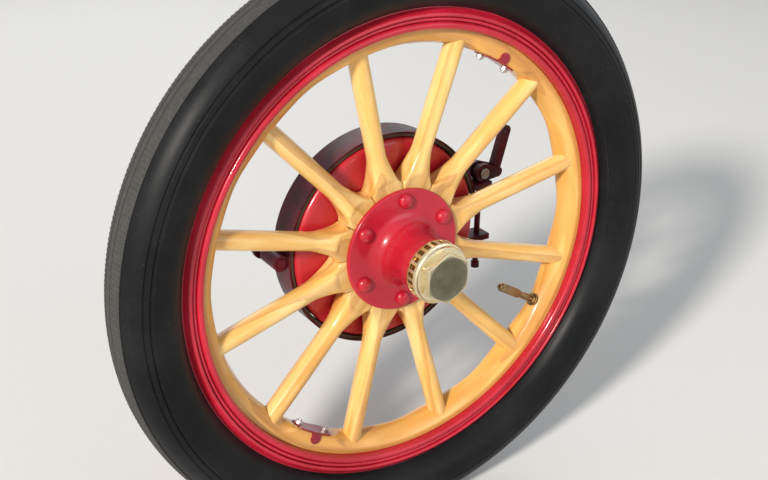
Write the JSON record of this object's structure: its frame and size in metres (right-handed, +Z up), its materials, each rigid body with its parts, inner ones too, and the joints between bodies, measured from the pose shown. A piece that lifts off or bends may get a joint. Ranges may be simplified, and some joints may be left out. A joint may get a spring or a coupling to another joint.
{
  "type": "wooden spoked car wheel on its axle end",
  "caption": "Varnished wooden spoked car wheel with red steel rim, brass hub cap, round rubber tyre and band brake, free to turn on the end of its axle tube.",
  "frame": {"origin": "on the wheel's axis, at the axle tube's inner end", "axes": "+Z up, +Y along the axle towards the middle of the car, +X towards the car's rear, the wheel's outer face looks along -Y"},
  "size_m": [0.8778, 0.379, 0.8778],
  "materials": {
    "tyre_rubber": "satin, dusty",
    "red_enamel": "gloss",
    "varnished_wood": "gloss varnish",
    "brass": "satin, polished edges",
    "dark_red_paint": "satin",
    "brake_lining": "woven, matt",
    "bare_steel": "dull"
  },
  "bodies": {
    "axle_end": {"axle_tube": "dark_red_paint", "spring_seat": "dark_red_paint", "brake_carrier": "dark_red_paint", "brake_band": "dark_red_paint", "band_lining": "brake_lining", "brake_lever": "dark_red_paint", "lever_pin": "dark_red_paint", "band_adjuster": "bare_steel"},
    "wheel": {"tyre": "tyre_rubber", "rim": "red_enamel", "side_ring": "red_enamel", "lock_ring": "red_enamel", "felloe_half_rear": "varnished_wood", "felloe_half_front": "varnished_wood", "felloe_plate_upper": "red_enamel", "felloe_plate_lower": "red_enamel", "spoke_01": "varnished_wood", "spoke_02": "varnished_wood", "spoke_03": "varnished_wood", "spoke_04": "varnished_wood", "spoke_05": "varnished_wood", "spoke_06": "varnished_wood", "spoke_07": "varnished_wood", "spoke_08": "varnished_wood", "spoke_09": "varnished_wood", "spoke_10": "varnished_wood", "spoke_11": "varnished_wood", "spoke_12": "varnished_wood", "hub": "red_enamel", "hub_inner_flange": "red_enamel", "hub_bolts": "red_enamel", "hub_cap": "brass", "brake_drum": "red_enamel", "valve_stem": "brass", "drive_shaft": "bare_steel"}
  },
  "joints": [
    {"name": "wheel_spin", "type": "hinge", "parent": "axle_end", "child": "wheel", "pos_m": [0, -0.2, 0], "axis": [0, 1, 0], "continuous": true}
  ]
}
